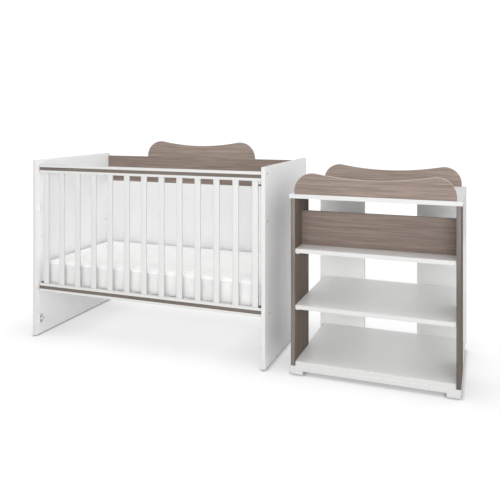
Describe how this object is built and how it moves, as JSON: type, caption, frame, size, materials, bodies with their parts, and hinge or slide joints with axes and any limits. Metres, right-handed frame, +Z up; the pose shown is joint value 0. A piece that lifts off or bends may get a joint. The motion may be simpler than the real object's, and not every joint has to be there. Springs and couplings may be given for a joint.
{
  "type": "cot with changing table",
  "caption": "Baby's cot with a sliding slatted gate, solid end panels and a mattress, beside an open-shelf changing table with curved guards.",
  "frame": {"origin": "on the floor, under the middle of the whole set's box", "axes": "+X along the cot towards the changing table, +Y from the gate to the cot's back, +Z up"},
  "size_m": [2.0456, 0.665, 0.958],
  "materials": {
    "white_laminate": "satin white laminate on board",
    "wood_decor": "matt grey-brown wood-grain laminate on board",
    "stripe_decor": "matt grey-brown inlaid strip",
    "beech": "bare beech",
    "steel": "zinc-plated steel",
    "white_steel": "white powder-coated steel",
    "white_paint": "white-painted beech",
    "dark_steel": "blackened steel",
    "dark_plastic": "moulded dark plastic",
    "white_plastic": "moulded white plastic",
    "mattress_cover": "quilted white cotton"
  },
  "bodies": {
    "cot_frame": {"left_end_panel": "white_laminate", "right_end_panel": "white_laminate", "back_panel": "white_laminate", "back_top_board": "wood_decor", "crest_board": "wood_decor", "back_dowels": "beech", "crest_dowels": "beech", "bearer_front": "white_paint", "bearer_back": "white_paint", "base_bars": "white_paint", "panel_bolts": "steel", "guide_bolts": "steel", "barrel_nuts": "steel", "cot_glides": "dark_plastic", "rod_guides": "white_plastic", "gate_rests": "white_plastic", "rest_screws": "dark_steel"},
    "gate": {"gate_top_rail": "white_laminate", "gate_top_stripe": "stripe_decor", "gate_bottom_rail": "white_laminate", "gate_bottom_stripe": "stripe_decor", "gate_slat_1": "white_laminate", "gate_slat_2": "white_laminate", "gate_slat_3": "white_laminate", "gate_slat_4": "white_laminate", "gate_slat_5": "white_laminate", "gate_slat_6": "white_laminate", "gate_slat_7": "white_laminate", "gate_slat_8": "white_laminate", "gate_slat_9": "white_laminate", "gate_slat_10": "white_laminate", "gate_slat_11": "white_laminate", "gate_slat_12": "white_laminate", "gate_slat_13": "white_laminate", "gate_rod_left": "white_steel", "gate_rod_right": "white_steel", "gate_rings": "dark_plastic", "gate_collars": "white_plastic", "catch_ring": "dark_plastic"},
    "mattress": {"mattress": "mattress_cover"},
    "changing_table": {"foot_left": "white_laminate", "foot_right": "white_laminate", "base_board": "white_laminate", "post_left": "wood_decor", "post_right": "wood_decor", "changer_back_left": "white_laminate", "changer_back_right": "white_laminate", "shelf_bottom": "white_laminate", "shelf_middle": "white_laminate", "shelf_upper": "white_laminate", "apron": "wood_decor", "top_board": "white_laminate", "front_guard": "wood_decor", "back_guard": "wood_decor", "shelf_supports": "white_plastic", "changer_dowels": "beech", "guard_dowels": "beech", "back_screws": "steel"}
  },
  "joints": [
    {"name": "gate_drop", "type": "slide", "parent": "cot_frame", "child": "gate", "axis": [0, 0, -1], "range_m": [0, 0.12]},
    {"name": "mattress_lift", "type": "slide", "parent": "cot_frame", "child": "mattress", "axis": [0, 0, 1], "range_m": [0, 0.62]},
    {"name": "changer_shift", "type": "slide", "parent": "cot_frame", "child": "changing_table", "axis": [-1, 0, 0], "range_m": [0, 0.1]}
  ]
}
